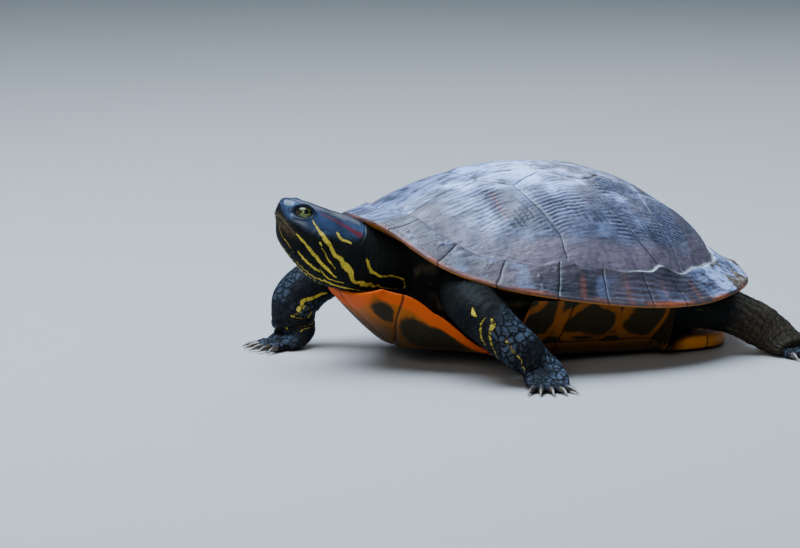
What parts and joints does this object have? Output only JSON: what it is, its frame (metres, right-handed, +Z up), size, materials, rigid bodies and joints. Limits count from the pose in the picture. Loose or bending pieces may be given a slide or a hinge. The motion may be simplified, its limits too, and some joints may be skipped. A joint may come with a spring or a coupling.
{
  "type": "red-eared slider turtle",
  "caption": "Walking red-eared slider turtle with a low domed dark shell, an orange belly plate with black blotches and a raised, yellow-striped head",
  "frame": {"origin": "on the ground, under the middle of the box round the whole animal", "axes": "the animal faces -Y, its left side is towards +X, and +Z is up"},
  "size_m": [0.2634, 0.3136, 0.112],
  "materials": {
    "carapace": "dark brown horn plates with growth ridges, semi-gloss",
    "plastron": "orange horn plates with black blotches, semi-gloss",
    "skin": "dark olive scaly skin with yellow stripes and a red ear patch",
    "eye": "wet, greenish-yellow iris with a dark bar",
    "claw": "dark horn, smooth"
  },
  "bodies": {
    "root": {"carapace": "carapace", "plastron": "plastron", "trunk": "skin", "neck": "skin", "head": "skin", "lower_jaw": "skin", "eye_left": "eye", "eye_right": "eye", "front_left_upper_leg": "skin", "front_left_lower_leg": "skin", "front_left_foot": "skin", "front_left_claw_1": "claw", "front_left_claw_2": "claw", "front_left_claw_3": "claw", "front_left_claw_4": "claw", "front_left_claw_5": "claw", "front_right_upper_leg": "skin", "front_right_lower_leg": "skin", "front_right_foot": "skin", "front_right_claw_1": "claw", "front_right_claw_2": "claw", "front_right_claw_3": "claw", "front_right_claw_4": "claw", "front_right_claw_5": "claw", "hind_left_upper_leg": "skin", "hind_left_lower_leg": "skin", "hind_left_foot": "skin", "hind_left_claw_1": "claw", "hind_left_claw_2": "claw", "hind_left_claw_3": "claw", "hind_left_claw_4": "claw", "hind_right_upper_leg": "skin", "hind_right_lower_leg": "skin", "hind_right_foot": "skin", "hind_right_claw_1": "claw", "hind_right_claw_2": "claw", "hind_right_claw_3": "claw", "hind_right_claw_4": "claw", "tail": "skin"}
  },
  "joints": []
}
